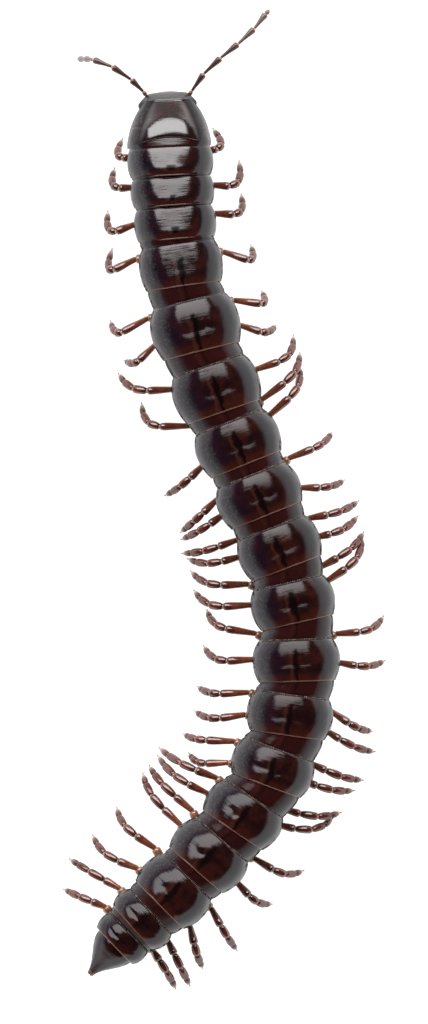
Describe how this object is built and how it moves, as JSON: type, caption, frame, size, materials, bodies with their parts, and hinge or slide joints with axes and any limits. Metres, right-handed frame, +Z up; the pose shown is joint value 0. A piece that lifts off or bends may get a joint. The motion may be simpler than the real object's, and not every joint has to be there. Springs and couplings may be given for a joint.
{
  "type": "millipede model",
  "caption": "Still life-size model of a dark glossy millipede in a gentle S curve, with head, antennae, ringed body, tail piece and walking legs.",
  "frame": {"origin": "floor level under the middle of the model's box, with the feet's flats at z = 0", "axes": "+Y towards the head, +Z up from the floor, +X to the right of the picture, which is the animal's right side"},
  "size_m": [0.0121, 0.0365, 0.004],
  "materials": {
    "shell": "very dark red-brown glossy cuticle with fine transverse texture and an amber rear margin on each ring",
    "head": "dark brown glossy cuticle, paler towards the upper lip",
    "legs": "glossy reddish brown cuticle with amber joints and orange tips",
    "antennae": "grey-brown satin cuticle with pale joints"
  },
  "bodies": {
    "root": {"antenna_left": "antennae", "antenna_right": "antennae", "collum": "shell", "gonopods": "legs", "head": "head", "legs_02_left": "legs", "legs_02_right": "legs", "legs_03_left": "legs", "legs_03_right": "legs", "legs_04_left": "legs", "legs_04_right": "legs", "legs_05_left": "legs", "legs_05_right": "legs", "legs_06_left": "legs", "legs_06_right": "legs", "legs_07_left": "legs", "legs_07_right": "legs", "legs_08_left": "legs", "legs_08_right": "legs", "legs_09_left": "legs", "legs_09_right": "legs", "legs_10_left": "legs", "legs_10_right": "legs", "legs_11_left": "legs", "legs_11_right": "legs", "legs_12_left": "legs", "legs_12_right": "legs", "legs_13_left": "legs", "legs_13_right": "legs", "legs_14_left": "legs", "legs_14_right": "legs", "legs_15_left": "legs", "legs_15_right": "legs", "legs_16_left": "legs", "legs_16_right": "legs", "legs_17_left": "legs", "legs_17_right": "legs", "legs_18_left": "legs", "legs_18_right": "legs", "ring_02": "shell", "ring_03": "shell", "ring_04": "shell", "ring_05": "shell", "ring_06": "shell", "ring_07": "shell", "ring_08": "shell", "ring_09": "shell", "ring_10": "shell", "ring_11": "shell", "ring_12": "shell", "ring_13": "shell", "ring_14": "shell", "ring_15": "shell", "ring_16": "shell", "ring_17": "shell", "ring_18": "shell", "ring_19": "shell", "telson": "shell"}
  },
  "joints": []
}
